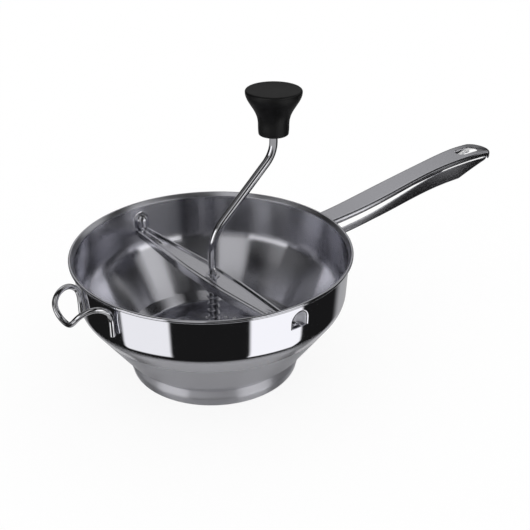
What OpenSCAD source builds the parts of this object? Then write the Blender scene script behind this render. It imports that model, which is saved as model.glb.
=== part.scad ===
// Hand-cranked food mill: a steel bowl with a drop-in sieve disc, a sprung scraper blade
// on a bent wire crank, a crossbar that latches under two pockets in the bowl wall,
// a folded strap handle and a wire pot hook.
// The bowl axis is Z, the foot stands on z = 0 and the handle points along +X.

/* [Bowl] */
// Outer radius of the rolled rim
rim_r = 100; // [90:1:110]
// Height of the top of the rim
rim_top = 92.2; // [86:0.2:100]
// Width of the rolled rim
rim_w = 4.2; // [3.6:0.1:5.5]
// Height of the rolled rim
rim_h = 2.5; // [2:0.1:3.2]
// Corner radius of the rolled rim
rim_round = 1.1; // [0.6:0.1:1.2]
// Sheet thickness of the bowl
wall = 0.8; // [0.6:0.1:1.2]
// How far the band under the rim lies inside the rim's outer edge
band_inset = 2.65; // [2.2:0.05:3.4]
// How far the band draws in from the rim to the shoulder
band_draft = 1.75; // [0.5:0.25:3]
// Height of the corner between cone and band
shoulder_z = 56.9; // [50:0.5:62]
// Bend radius of the shoulder
shoulder_bend = 18; // [8:1:24]
// Outer radius of the foot ring at the ground
foot_r = 61.2; // [60:0.1:63]
// How far the cone starts outside the foot ring
cone_out = 7.7; // [5:0.1:12]
// Height where the cone starts
cone_foot_z = 19.5; // [17:0.5:24]
// Bend radius where the cone starts
cone_foot_bend = 6; // [4:0.5:9]
// How far the neck above the foot ring lies outside it
neck_out = 0.7; // [0:0.1:1.4]
// Height of the neck
neck_z = 13.2; // [11:0.2:15]
// Bend radius of the neck
neck_bend = 2.5; // [1.5:0.1:4]
// How far the foot ring bulges
skirt_out = 1.55; // [1:0.05:3]
// Height of the bulge
skirt_z = 6.5; // [5:0.5:8]
// Bend radius of the bulge
skirt_bend = 10; // [5:0.5:14]
// Width of the folded ledge that carries the sieve disc, down to the outlet
ledge_w = 6.2; // [5.5:0.1:9]
// Thickness of that ledge
ledge_h = 1.6; // [1.2:0.1:2.4]

/* [Latch pockets] */
// Outer radius of the pocket pressed into the wall
pocket_r = 6; // [5:0.25:7]
// How far the open lower edge of the pocket lies below the rim
pocket_drop = 18.7; // [17:0.1:21]
// Straight height of the pocket below its domed top
pocket_h = 8.5; // [5:0.5:10]

/* [Sieve disc] */
// Play of the disc in the neck
disc_play = 0.5; // [0.3:0.1:1]
// Width of the disc's flat rim
disc_rim_w = 6.1; // [5.5:0.1:9]
// Height of the raised plate above the ledge
plate_rise = 4; // [2.5:0.25:6]
// Sheet thickness of the disc
disc_t = 0.8; // [0.6:0.1:1.2]
// Diameter of one sieve hole
hole_d = 3.6; // [2:0.2:4.5]
// Spacing of the sieve holes
hole_pitch = 7.2; // [6:0.2:9]
// Radius of the first ring of holes
first_ring_r = 11; // [9.5:0.5:14]
// Outer radius of the collar round the centre hole
collar_r = 5; // [4.4:0.1:7]
// Depth of the collar below the plate
collar_h = 1.6; // [0.8:0.2:2]

/* [Handle] */
// Distance from the rim to the tip of the handle
handle_l = 192.5; // [170:0.5:220]
// How far the top of the handle starts below the rim
handle_drop = 5.5; // [4.5:0.1:9]
// Rise of the handle from the bowl to its crest
handle_rise = 16.3; // [8:0.1:28]
// Distance from the tip back to the crest
crest_back = 30.5; // [24:0.5:40]
// How far the tip droops below the crest
tip_droop = 2.6; // [0:0.2:5]
// Half width at the bowl
root_half_w = 9.4; // [8:0.2:12]
// Half width in the first half of the grip
grip_half_w = 10.6; // [9:0.2:13]
// Distance from the bowl to the widest part of the grip
grip_l = 63; // [50:0.5:75]
// Half width at the waist
waist_half_w = 9.9; // [8:0.1:12]
// Distance from the tip back to the waist
waist_back = 80.5; // [70:0.5:95]
// Half width at the tip
tip_half_w = 12.5; // [10.5:0.25:15]
// Sheet thickness of the strap
strap_t = 1.2; // [1:0.1:1.6]
// Width of the strap's turned-in lower edges, inside the strap's thickness
hem_w = 1.6; // [0.8:0.1:3]
// Depth of the upper side flange
upper_flange = 4; // [3:0.25:4.5]
// Depth of the strap at the bowl
root_depth = 12.6; // [11:0.1:14]
// Depth of the strap at the corner near the tip
corner_depth = 17.1; // [12:0.1:22]
// Distance from the tip back to that corner
corner_back = 42; // [38:0.5:50]
// Depth of the closed tip
tip_depth = 5; // [4:0.25:8]
// Width of the slit between the flanges at the bowl
slit_root = 4.6; // [2:0.2:5]
// Width of the slit near the tip
slit_tip = 0.9; // [0.4:0.1:2]
// Distance from the tip back to the end of the slit
slit_back = 8.5; // [7:0.5:14]
// Length of the hanging slot
slot_l = 24; // [16:0.5:28]
// Width of the hanging slot
slot_w = 11; // [6:0.5:13]
// Distance from the tip to the middle of the hanging slot
slot_back = 23; // [21:0.5:30]

/* [Pot hook] */
// Diameter of the hook wire
hook_d = 4; // [3:0.25:5]
// Half the distance between the two legs
hook_half_w = 19.5; // [15:0.5:26]
// How far the legs reach below the rim
hook_leg_drop = 21.7; // [18:0.1:26]
// Height of the wire centre over the arch above the underside of the rim
hook_arch_up = 0.3; // [0:0.1:3]
// Reach of the drooping loop outside the rim
hook_reach = 19; // [14:0.5:30]
// How far the bottom of the loop leans out beyond its shoulder
hook_lean = 1.5; // [0:0.1:4]
// How far the bottom of the loop lies below the rim
hook_low_drop = 14.9; // [12:0.1:20]
// Half the width of the loop's flat bottom
hook_low_half_w = 8.5; // [7:0.5:12]
// Bend radius where a leg turns outwards
hook_bend = 9; // [5:0.5:10]
// Bend radius where the wire turns down
hook_drop_bend = 5; // [4:0.5:7]
// Bend radius at the bottom of the loop
hook_low_bend = 7; // [5:0.5:9]
// Turn of the hook round the bowl, away from straight opposite the handle
hook_turn = 1.5; // [-4:0.5:4]

/* [Crossbar] */
// Half width in the middle
bar_half_w = 9.8; // [8.5:0.1:12]
// Half width at the ends
bar_end_half_w = 5.4; // [4.6:0.1:7]
// Half the length of the full-width middle
bar_mid_l = 22; // [10:1:40]
// Sheet thickness
bar_t = 1.2; // [1:0.1:1.5]
// Depth of the side flanges below the top
bar_flange = 5.5; // [4:0.25:7]
// Width of the raised bead along each edge
bar_bead_w = 2; // [1.4:0.1:2.6]
// Height of the raised bead
bar_bead_h = 1; // [0.6:0.1:1.4]
// Width of the tongue that enters the pocket
tongue_w = 5; // [4:0.25:5.5]
// Height of the tongue above the bar's top
tongue_h = 4.6; // [3.6:0.2:5]
// Clearance between the bar's ends and the bowl wall
bar_end_gap = 1.2; // [1:0.1:2]
// How far the crossbar can be pressed down
bar_travel = 6; // [5.5:0.5:8]

/* [Crank] */
// Diameter of the crank wire
wire_d = 6; // [5:0.25:7]
// Height of the wire's lower end
shaft_foot_z = 3.4; // [2.8:0.2:4]
// Height of the corner of the lower bend above the stop ears
lower_bend_up = 24.9; // [18:0.1:34]
// Throw of the crank
crank_throw = 51.8; // [44:0.2:62]
// Rise of the wire from the lower bend to the upper one
crank_rise = 51.8; // [44:0.2:62]
// Bend radius of both bends
crank_bend = 22; // [12:1:26]
// Turn of the crank from the handle at rest
crank_turn = -5.8; // [-180:0.2:180]
// Width across the two stop ears swaged on the shaft
ear_span = 9.6; // [8.5:0.2:11]
// Height of the ears
ear_h = 4.5; // [3:0.25:6]
// Thickness of the ears
ear_t = 2.2; // [1.6:0.2:3]

/* [Bush, spring and hub] */
// Wall of the bush tube
bush_wall = 1.72; // [1.2:0.02:2.2]
// Width of the lower bush flange
bush_flange_w = 2.2; // [1.6:0.1:2.8]
// Width of the upper bush flange
bush_lip_w = 1.2; // [0.8:0.1:2]
// Thickness of the bush flanges
bush_flange_h = 1.1; // [0.8:0.1:1.5]
// Diameter of the spring wire
spring_d = 1.4; // [1:0.1:1.5]
// Number of turns of the spring
spring_turns = 10; // [6:1:14]
// Thickness of the washer under the spring
washer_h = 1; // [0.8:0.1:1.5]
// Outer radius of the blade hub
hub_r = 6; // [5.2:0.1:7.5]
// Height of the blade hub
hub_h = 13.5; // [11:0.5:16]
// Diameter of the cross pin through hub and shaft
pin_d = 2.4; // [1.5:0.1:3]
// How far the pin lies below the top of the hub
pin_drop = 3.2; // [2.4:0.1:5]
// How far the blade can lift against its spring
blade_travel = 5; // [2:0.5:6]

/* [Blade] */
// How far the blade's edge stays inside the edge of the sieve plate
blade_margin = 1.5; // [1:0.1:6]
// Sheet thickness of the blade
blade_t = 1.2; // [0.9:0.1:1.6]
// Rise of the blade's leading edge
blade_rise = 18; // [12:1:21]
// How far the lifted end of the blade is rounded in
blade_tuck = 6; // [2:0.5:10]
// Angle covered by the blade
blade_sweep = 190; // [150:5:220]
// Width of the wiper arm opposite the blade
arm_w = 11; // [8:0.5:14]
// Tilt of the wiper arm
arm_tilt = 32; // [20:1:40]

/* [Knob] */
// Height of the knob's lower edge above the corner of the upper bend
knob_up = 14.9; // [12:0.1:20]
// Height of the knob without its cap
knob_h = 29.8; // [27:0.2:34]
// Radius of the knob's lower edge
knob_foot_r = 10.5; // [9.8:0.1:12]
// Radius where the flare begins
knob_waist_r = 10.9; // [10.2:0.1:13]
// Rounding of the knob's lower edge
knob_round = 0.9; // [0.5:0.1:1.5]
// Largest radius at the top
knob_top_r = 19.6; // [17:0.2:23]
// Thickness of the cap at its edge
cap_edge_h = 1.6; // [1.2:0.1:2.4]
// Crown of the cap above its edge
cap_crown = 1.1; // [0.6:0.1:2]
// Outer radius of the sleeve that the knob spins on
sleeve_r = 5; // [4.4:0.1:5.6]
// How far the sleeve's foot lies inside the knob
sleeve_in = 0.8; // [0.4:0.1:2]
// Length of the sleeve
sleeve_l = 19.5; // [16:0.1:21]
// Radius of the sleeve's foot flange
sleeve_flange_r = 7.4; // [6.5:0.1:8]
// Thickness of that flange
sleeve_flange_h = 1; // [0.8:0.1:1.4]
// Outer radius of the push-on ring that keeps the knob on
ring_r = 7.4; // [6.5:0.1:8]
// Thickness of the ring
ring_h = 1; // [0.8:0.1:1.4]
// How far the wire's end stands out of the ring, and the same again up to the cap
wire_end = 2; // [1:0.1:2.4]

/* [Clearances] */
// Gap between pieces that slide past each other
gap = 0.3; // [0.25:0.05:0.4]
// Radial play of a shaft that turns or slides in a bore
running = 0.08; // [0.04:0.01:0.1]
// Radial play of pieces fixed together
seat = 0.02; // [0.01:0.01:0.05]

/* [Hidden] */
$fn = 96;
eps = 0.01;

// Heights and radii that follow from the sizes above
shaft_r = wire_d / 2;
bore_r = shaft_r + running;
rim_z = rim_top - rim_h;
band_top_r = rim_r - band_inset;
shoulder_r = band_top_r - band_draft;
neck_r = foot_r + neck_out;
outlet_r = foot_r - ledge_w;
disc_r = neck_r - wall - disc_play;
disc_step = 1;
plate_r = disc_r - disc_rim_w - disc_step;
blade_r = plate_r - blade_margin;
pocket_z = rim_z - pocket_drop;
plate_top = ledge_h + plate_rise + disc_t;
hub_z = plate_top + gap;
hub_top = hub_z + hub_h;
washer_z = hub_top + gap;
washer_r = hub_r - gap;
bead_top = pocket_z - gap;
bar_top = bead_top - bar_bead_h;
bush_r = bore_r + bush_wall;
bush_foot = bar_top - bar_t - bush_flange_h;
bush_top = bar_top + bush_flange_h;
ear_z = bush_top + gap;
lower_bend_z = ear_z + ear_h + lower_bend_up;
upper_bend_z = lower_bend_z + crank_rise;
knob_z = upper_bend_z + knob_up;
knob_top = knob_z + knob_h;
sleeve_foot = knob_z + sleeve_in;
ring_z = sleeve_foot + sleeve_l;
shaft_top = ring_z + ring_h + wire_end;
cap_foot = shaft_top + wire_end;
cap_well_r = ring_r + 2 * gap;

// Outer radius of the bowl's band at height z
function band_r(z) = shoulder_r + band_draft * (z - shoulder_z) / (rim_z - shoulder_z);
bar_l = sqrt(pow(band_r(bar_top - bar_flange - bar_travel) - wall - bar_end_gap, 2)
             - pow(bar_end_half_w, 2));
pocket_mid_r = band_r(pocket_z) - wall;

// Cosine ease from 0 to 1
function ease(t) = (1 - cos(180 * min(max(t, 0), 1))) / 2;
function unit(v) = v / norm(v);

// Points of the fillet of radius r at corner b of the path a-b-c
function fillet(a, b, c, r, steps = 8) =
    let (u = unit(b - a), v = unit(c - b), turn = acos(u * v),
         side = sign(u.x * v.y - u.y * v.x), n = side * [-u.y, u.x],
         centre = b - u * r * tan(turn / 2) + n * r)
    [for (k = [0:steps]) centre - n * r * cos(turn * k / steps) + u * r * sin(turn * k / steps)];

// Path through corners [x, y, fillet radius]; the ends stay as they are
function rounded(path) = [for (i = [0:len(path) - 1])
    let (p = [path[i].x, path[i].y])
    each (i == 0 || i == len(path) - 1 || path[i].z == 0) ? [p]
        : fillet([path[i - 1].x, path[i - 1].y], p, [path[i + 1].x, path[i + 1].y], path[i].z)];

// Path moved sideways by d, to the left of its direction
function shifted(path, d) = [for (i = [0:len(path) - 1])
    let (t = unit(path[min(i + 1, len(path) - 1)] - path[max(i - 1, 0)]))
    path[i] + d * [-t.y, t.x]];

function reversed(list) = [for (i = [len(list) - 1:-1:0]) list[i]];

// Rectangle from [x0, y0] to [x1, y1] with corners rounded by r
module round_rect(x0, y0, x1, y1, r) {
    corners = [[x0, y0], [x1, y0], [x1, y1], [x0, y1]];
    polygon([for (i = [0:3])
        each fillet(corners[(i + 3) % 4], corners[i], corners[(i + 1) % 4], r, 6)]);
}

// Points of the bend of radius r at corner b of the wire a-b-c, in space
function bend_points(a, b, c, r, steps = 7) =
    let (u = unit(b - a), v = unit(c - b), turn = acos(u * v), n = unit(v - (u * v) * u),
         centre = b - u * r * tan(turn / 2) + n * r)
    [for (k = [0:steps]) centre - n * r * cos(turn * k / steps) + u * r * sin(turn * k / steps)];

// Centre line of a wire through corner points, with a bend radius at each inner corner
function wire_line(points, bends) = [for (i = [0:len(points) - 1])
    each (bends[i] == 0 ? [points[i]]
        : bend_points(points[i - 1], points[i], points[i + 1], bends[i]))];

// Wire of radius r along its centre line; each ring's first spoke follows from the ring before it
module bent_wire(points, bends, r, sides, spoke) {
    line = wire_line(points, bends);
    last = len(line) - 1;
    way = [for (i = [0:last]) unit(line[min(i + 1, last)] - line[max(i - 1, 0)])];
    spokes = [for (i = 0, n = spoke; i <= last;
        i = i + 1, n = unit(n - (n * way[min(i, last)]) * way[min(i, last)])) n];
    rings = [for (i = [0:last])
        let (n = unit(spokes[i] - (spokes[i] * way[i]) * way[i]), m = cross(way[i], n))
        for (j = [0:sides - 1]) line[i] + r * (cos(360 * j / sides) * n + sin(360 * j / sides) * m)];
    walls = [for (i = [0:last - 1]) for (j = [0:sides - 1])
        [i * sides + j, (i + 1) * sides + j, (i + 1) * sides + (j + 1) % sides,
         i * sides + (j + 1) % sides]];
    ends = [[for (j = [0:sides - 1]) j], [for (j = [sides - 1:-1:0]) last * sides + j]];
    polyhedron(rings, concat(walls, ends), convexity = 8);
}

// ---- bowl ----

bowl_side = rounded([[foot_r, 0, 0], [foot_r + skirt_out, skirt_z, skirt_bend],
    [neck_r, neck_z, neck_bend], [foot_r + cone_out, cone_foot_z, cone_foot_bend],
    [shoulder_r, shoulder_z, shoulder_bend], [band_top_r, rim_z + rim_h / 5, 0]]);

// Room inside the pocket, open below
module pocket_room(r) {
    translate([0, pocket_mid_r, pocket_z]) cylinder(h = pocket_h, r = r);
    translate([0, pocket_mid_r, pocket_z + pocket_h]) sphere(r = r);
}

module pocket_hood() intersection() {
    pocket_room(pocket_r);
    translate([0, 0, pocket_z])
        cylinder(h = rim_z - pocket_z, r1 = band_r(pocket_z) - eps, r2 = band_top_r - eps);
}

module bowl() color([0.72, 0.72, 0.75]) difference() {
    union() {
        rotate_extrude() polygon(concat(bowl_side, reversed(shifted(bowl_side, wall))));
        rotate_extrude() translate([outlet_r, 0]) square([foot_r - outlet_r, ledge_h]);
        rotate_extrude() round_rect(rim_r - rim_w, rim_z, rim_r, rim_top, rim_round);
        for (a = [0, 180]) rotate(a) pocket_hood();
    }
    for (a = [0, 180]) rotate(a) pocket_room(pocket_r - wall);
}

// ---- sieve disc ----

plate_z = ledge_h + plate_rise;
disc_side = [[disc_r, ledge_h], [plate_r + disc_step, ledge_h], [plate_r, plate_z],
    [collar_r, plate_z], [collar_r, plate_z - collar_h], [bore_r, plate_z - collar_h],
    [bore_r, plate_top], [plate_r, plate_top], [plate_r + disc_step + disc_t, ledge_h + disc_t],
    [disc_r, ledge_h + disc_t]];
ring_count = floor((plate_r - hole_d - first_ring_r) / hole_pitch) + 1;

module sieve_disc() color([0.78, 0.78, 0.8]) difference() {
    rotate_extrude() polygon(disc_side);
    for (k = [0:ring_count - 1]) {
        r = first_ring_r + k * hole_pitch;
        n = floor(2 * PI * r / hole_pitch);
        for (i = [0:n - 1]) rotate(360 * i / n) translate([r, 0, plate_z - eps])
            cylinder(h = disc_t + 2 * eps, d = hole_d, $fn = 24);
    }
}

// ---- handle ----

handle_root_z = rim_z - handle_drop;
handle_crest_z = handle_root_z + handle_rise;
handle_tip = rim_r + handle_l;
root_x = band_r(handle_root_z) - 2.5 * strap_t;
grip_x = band_r(handle_root_z) + grip_l;
waist_x = handle_tip - waist_back;
cap_x = handle_tip - tip_half_w;
crest_x = handle_tip - crest_back;
corner_x = handle_tip - corner_back;
slit_end = handle_tip - slit_back;
slit_wide_x = grip_x - grip_l / 2;
slit_thin_x = waist_x + grip_l / 4;
slot_x = handle_tip - slot_back;
above_all = 2 * handle_crest_z;
handle_steps = 24;

// Value that eases from a at x0 to b at x1
function eased(x, x0, x1, a, b) = a + (b - a) * ease((x - x0) / (x1 - x0));

function half_w(x) = x < grip_x ? eased(x, root_x, grip_x, root_half_w, grip_half_w)
    : x < waist_x ? eased(x, grip_x, waist_x, grip_half_w, waist_half_w)
    : eased(x, waist_x, cap_x, waist_half_w, tip_half_w);

// Height of the strap's top, depth of the strap and width of the side slit along the handle
function rise(t) = 0.85 * ease(t) + 0.15 * min(t, 1);
function top_z(x) = x < crest_x
    ? handle_root_z + (handle_crest_z - handle_root_z) * rise((x - root_x) / (crest_x - root_x))
    : handle_crest_z - tip_droop * pow((x - crest_x) / (handle_tip - crest_x), 2);
function depth(x) = x < corner_x
    ? root_depth + (corner_depth - root_depth) * (x - root_x) / (corner_x - root_x)
    : corner_depth + (tip_depth - corner_depth) * (x - corner_x) / (handle_tip - corner_x);
function slit_w(x) = eased(x, slit_wide_x, slit_thin_x, slit_root, slit_tip);

function along(x0, x1) = [for (k = [0:handle_steps]) x0 + (x1 - x0) * k / handle_steps];

// Top view of the strap, drawn in by inset
module strap_plan(inset) {
    side = [for (x = along(root_x, cap_x)) [x, half_w(x) - inset]];
    tip = [for (a = [80:-10:-80]) [cap_x, 0] + (tip_half_w - inset) * [cos(a), sin(a)]];
    polygon(concat(side, tip, [for (p = reversed(side)) [p.x, -p.y]]));
}

// Side view of the strap, drawn in by inset
module strap_side(inset) {
    xs = concat(along(root_x, corner_x), [for (x = along(corner_x, handle_tip)) if (x > corner_x) x]);
    polygon(concat([for (x = xs) [x, top_z(x) - inset]],
        [for (x = reversed(xs)) [x, top_z(x) - depth(x) + inset]]));
}

module strap_slit() {
    xs = along(root_x, slit_end);
    polygon(concat([for (x = xs) [x, top_z(x) - upper_flange]],
        [for (x = reversed(xs)) [x, top_z(x) - upper_flange - slit_w(x)]]));
}

module strap_block(inset) intersection() {
    linear_extrude(height = above_all) strap_plan(inset);
    rotate([90, 0, 0]) linear_extrude(height = 4 * tip_half_w, center = true) strap_side(inset);
}

// Opening of the strap's underside, between its turned-in lower edges
module strap_under() intersection() {
    linear_extrude(height = above_all) strap_plan(strap_t + hem_w);
    rotate([90, 0, 0]) linear_extrude(height = 4 * tip_half_w, center = true) {
        xs = along(root_x, handle_tip);
        polygon(concat([for (x = xs) [x, top_z(x) - depth(x) + 1.5 * strap_t]],
            [for (x = reversed(xs)) [x, top_z(x) - depth(x) - strap_t]]));
    }
}

module bowl_cone(grow) translate([0, 0, shoulder_z])
    cylinder(h = rim_z - shoulder_z, r1 = shoulder_r + grow, r2 = band_top_r + grow);

module hanging_slot() translate([slot_x, 0, 0]) {
    straight = slot_l - slot_w;
    translate([-straight / 2, -slot_w / 2, 0]) cube([straight, slot_w, above_all]);
    for (s = [-1, 1]) translate([s * straight / 2, 0, 0]) cylinder(h = above_all, d = slot_w);
}

module handle() color([0.7, 0.7, 0.73]) difference() {
    strap_block(0);
    difference() {
        strap_block(strap_t);
        bowl_cone(strap_t);
    }
    difference() {
        union() {
            rotate([90, 0, 0]) linear_extrude(height = 4 * tip_half_w, center = true) strap_slit();
            strap_under();
        }
        bowl_cone(strap_t);
    }
    bowl_cone(seat);
    hanging_slot();
}

// ---- pot hook ----

hook_arch_z = rim_z + hook_arch_up;
hook_leg_r = band_r(hook_arch_z - hook_bend) + hook_d / 2 + seat;
hook_leg_x = sqrt(pow(hook_leg_r, 2) - pow(hook_half_w, 2));
hook_near = [[-hook_leg_x, -hook_half_w, rim_z - hook_leg_drop], [-hook_leg_x, -hook_half_w, hook_arch_z],
    [hook_lean - rim_r - hook_reach, -hook_half_w, hook_arch_z + hook_d / 8],
    [-rim_r - hook_reach, -hook_low_half_w, rim_z - hook_low_drop]];

module pot_hook() color([0.75, 0.75, 0.78]) rotate(hook_turn)
    bent_wire(concat(hook_near, [for (p = reversed(hook_near)) [p.x, -p.y, p.z]]),
        [0, hook_bend, hook_drop_bend, hook_low_bend, hook_low_bend, hook_drop_bend, hook_bend, 0],
        hook_d / 2, 16, [1, 0, 0]);

// ---- crossbar ----

// Outline of the bar from above, drawn in by inset and with its ends too long by over
function bar_outline(inset, over = 0) =
    let (m = bar_half_w - inset, q = bar_mid_l, l = bar_l + over,
         e = m - (bar_half_w - bar_end_half_w) * (l - q) / (bar_l - q))
    [[e, -l], [m, -q], [m, q], [e, l], [-e, l], [-m, q], [-m, -q], [-e, -l]];

module bar_layer(z, h, inset, cut) translate([0, 0, z]) difference() {
    linear_extrude(height = h) polygon(bar_outline(inset));
    if (cut > 0) translate([0, 0, -1])
        linear_extrude(height = h + 2) polygon(bar_outline(inset + cut, 1));
}

module crossbar() color([0.76, 0.76, 0.79]) difference() {
    union() {
        bar_layer(bar_top - bar_t, bar_t, 0, 0);
        bar_layer(bar_top - eps, bar_bead_h + eps, 0, bar_bead_w);
        bar_layer(bar_top - bar_flange, bar_flange, 0, bar_t);
        for (s = [-1, 1]) translate([-tongue_w / 2, s * (bar_l - bar_t / 2) - bar_t / 2, bar_top - bar_t])
            cube([tongue_w, bar_t, bar_t + tongue_h]);
    }
    translate([0, 0, bush_foot]) cylinder(h = 4 * bar_t, r = bush_r + seat);
}

module bar_bush() color([0.6, 0.6, 0.63]) difference() {
    union() {
        translate([0, 0, bush_foot]) cylinder(h = bush_top - bush_foot, r = bush_r);
        translate([0, 0, bush_foot]) cylinder(h = bush_flange_h, r = bush_r + bush_flange_w);
        translate([0, 0, bar_top]) cylinder(h = bush_flange_h, r = bush_r + bush_lip_w);
    }
    translate([0, 0, bush_foot - 1]) cylinder(h = bush_top - bush_foot + 2, r = bore_r);
}

// ---- spring and washer ----

spring_in_r = shaft_r + gap;
spring_foot = washer_z + washer_h + spring_d / 2 + seat;
spring_end = bush_foot - spring_d / 2 - seat;
spring_ring = 20;
spring_wire_sides = 6;

// Centre of the spring wire after share t of its turns, with closed end turns
function coil_z(t) = spring_foot + (spring_end - spring_foot) * (t - 0.045 * sin(360 * t));
function coil_point(t, side) = let (a = 360 * spring_turns * t, b = 360 * side / spring_wire_sides,
    r = spring_in_r + spring_d / 2 * (1 + cos(b)))
    [r * cos(a), r * sin(a), coil_z(t) + spring_d / 2 * sin(b)];

module spring() color([0.35, 0.35, 0.37]) {
    n = spring_turns * spring_ring;
    m = spring_wire_sides;
    points = [for (i = [0:n]) for (j = [0:m - 1]) coil_point(i / n, j)];
    walls = [for (i = [0:n - 1]) for (j = [0:m - 1])
        [i * m + j, i * m + (j + 1) % m, (i + 1) * m + (j + 1) % m, (i + 1) * m + j]];
    ends = [[for (j = [m - 1:-1:0]) j], [for (j = [0:m - 1]) n * m + j]];
    polyhedron(points, concat(walls, ends), convexity = 10);
}

module spring_washer() color([0.7, 0.7, 0.72]) translate([0, 0, washer_z]) difference() {
    cylinder(h = washer_h, r = washer_r);
    translate([0, 0, -1]) cylinder(h = washer_h + 2, r = bore_r);
}

// ---- crank, hub and blade ----

pin_z = hub_top - pin_drop;
shaft_straight_z = ear_z + ear_h + ear_t;

module hub_pin_shape(r, l) translate([0, 0, pin_z]) rotate([0, 90, 0]) cylinder(h = l, r = r, center = true);

module crank_wire() color([0.8, 0.8, 0.83]) rotate(crank_turn) difference() {
    union() {
        translate([0, 0, shaft_foot_z]) cylinder(h = shaft_straight_z - shaft_foot_z, r = shaft_r);
        bent_wire([[0, 0, shaft_straight_z], [0, 0, lower_bend_z], [crank_throw, 0, upper_bend_z],
            [crank_throw, 0, shaft_top]], [0, crank_bend, crank_bend, 0], shaft_r - eps, 24, [1, 0, 0]);
        translate([-ear_t / 2, -ear_span / 2, ear_z]) cube([ear_t, ear_span, ear_h]);
    }
    hub_pin_shape(pin_d / 2 + seat, 4 * hub_r);
}

module blade_hub() color([0.66, 0.66, 0.69]) rotate(crank_turn) difference() {
    translate([0, 0, hub_z]) cylinder(h = hub_h, r = hub_r);
    translate([0, 0, hub_z - 1]) cylinder(h = hub_h + 2, r = shaft_r + seat);
    hub_pin_shape(pin_d / 2 + seat, 4 * hub_r);
}

module hub_pin() color([0.6, 0.6, 0.62]) rotate(crank_turn) hub_pin_shape(pin_d / 2, 2 * hub_r);

blade_cols = 5;
blade_rows = 24;

// Height of the blade's lower face at share t of its sweep: flat where it wipes, then a screw rise
function blade_z(t) = hub_z + blade_rise * pow(t, 1.25);
// Outer radius at share t: the wiping end is full, the lifted end is rounded in
function blade_edge(t) = blade_r - blade_tuck * pow(max(2.2 * t - 1.2, 0), 2);

module blade_wing() {
    m = blade_cols + 1;
    inner = hub_r + seat;
    sheet = [for (top = [0, 1]) for (i = [0:blade_rows]) for (j = [0:blade_cols])
        let (t = i / blade_rows, a = blade_sweep * t, r = inner + (blade_edge(t) - inner) * j / blade_cols)
        [r * cos(a), r * sin(a), blade_z(t) + top * blade_t]];
    up = (blade_rows + 1) * m;
    lower = [for (i = [0:blade_rows - 1]) for (j = [0:blade_cols - 1])
        let (p = i * m + j) each [[p, p + 1, p + m + 1], [p, p + m + 1, p + m]]];
    upper = [for (f = lower) [f[2] + up, f[1] + up, f[0] + up]];
    rim = concat([for (i = [0:blade_rows]) i * m], [for (j = [1:blade_cols]) blade_rows * m + j],
        [for (i = [blade_rows - 1:-1:0]) i * m + blade_cols], [for (j = [blade_cols - 1:-1:1]) j]);
    edge = [for (k = [0:len(rim) - 1]) let (p = rim[k], q = rim[(k + 1) % len(rim)])
        each [[p, q, q + up], [p, q + up, p + up]]];
    polyhedron(sheet, concat(lower, upper, edge), convexity = 6);
}

// Flat arm opposite the wing, tilted so that its lower edge wipes the disc
module blade_arm() difference() {
    rotate(blade_sweep + (360 - blade_sweep) / 2)
        translate([0, 0, hub_z + arm_w / 2 * sin(arm_tilt) + blade_t / 2 * cos(arm_tilt)])
        rotate([arm_tilt, 0, 0]) translate([0, -arm_w / 2, -blade_t / 2]) cube([blade_r - 1, arm_w, blade_t]);
    translate([0, 0, hub_z - 1]) cylinder(h = 2 * hub_h, r = hub_r + seat);
}

// The lifted edge leads when the crank turns clockwise from above
module blade() color([0.74, 0.74, 0.77]) rotate(crank_turn) mirror([0, 1, 0]) {
    blade_wing();
    blade_arm();
}

// ---- knob ----

module at_knob() rotate(crank_turn) translate([crank_throw, 0, 0]) children();

// Radius of the knob at height z above its lower edge
flare_z = 6;
function knob_r(z) = knob_waist_r
    + (knob_top_r - knob_waist_r) * ease(pow(max(z - flare_z, 0) / (knob_h - flare_z), 1.3));

module knob_sleeve() color([0.85, 0.85, 0.82]) at_knob() difference() {
    union() {
        translate([0, 0, sleeve_foot]) cylinder(h = ring_z - sleeve_foot, r = sleeve_r);
        translate([0, 0, sleeve_foot]) cylinder(h = sleeve_flange_h, r = sleeve_flange_r);
    }
    translate([0, 0, sleeve_foot - 1]) cylinder(h = 2 * knob_h, r = shaft_r + seat);
}

module knob_ring() color([0.5, 0.5, 0.52]) at_knob() translate([0, 0, ring_z]) difference() {
    cylinder(h = ring_h, r = ring_r);
    translate([0, 0, -1]) cylinder(h = ring_h + 2, r = shaft_r + seat);
}

module knob_shell() color([0.09, 0.09, 0.1]) at_knob() difference() {
    translate([0, 0, knob_z]) rotate_extrude() polygon(concat(
        [for (a = [0:30:90]) [knob_foot_r - knob_round * (1 - sin(a)), knob_round * (1 - cos(a))]],
        [for (k = [0:20]) let (z = flare_z + (knob_h - flare_z) * k / 20) [knob_r(z), z]],
        [[0, knob_h], [0, 0]]));
    translate([0, 0, knob_z - 1]) cylinder(h = knob_h + 2, r = sleeve_r + running);
    translate([0, 0, knob_z - 1])
        cylinder(h = sleeve_in + sleeve_flange_h + gap + 1, r = sleeve_flange_r + gap);
    translate([0, 0, ring_z - gap]) cylinder(h = knob_h, r = cap_well_r);
}

module knob_cap() color([0.12, 0.12, 0.13]) at_knob() {
    rise_z = knob_top + cap_edge_h;
    rotate_extrude() polygon(concat([[0, cap_foot], [cap_well_r - seat, cap_foot],
        [cap_well_r - seat, knob_top], [knob_top_r, knob_top]],
        [for (a = [10:20:90])
            [knob_top_r - cap_edge_h * (1 - cos(a)), knob_top + cap_edge_h * sin(a)]],
        [for (k = [1:6]) let (s = 1 - k / 6)
            [(knob_top_r - cap_edge_h) * s, rise_z + cap_crown * (1 - s * s)]]));
}

bowl();
sieve_disc();
handle();
pot_hook();
crossbar();
bar_bush();
spring();
spring_washer();
crank_wire();
blade_hub();
hub_pin();
blade();
knob_sleeve();
knob_ring();
knob_shell();
knob_cap();
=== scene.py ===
import math

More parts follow.
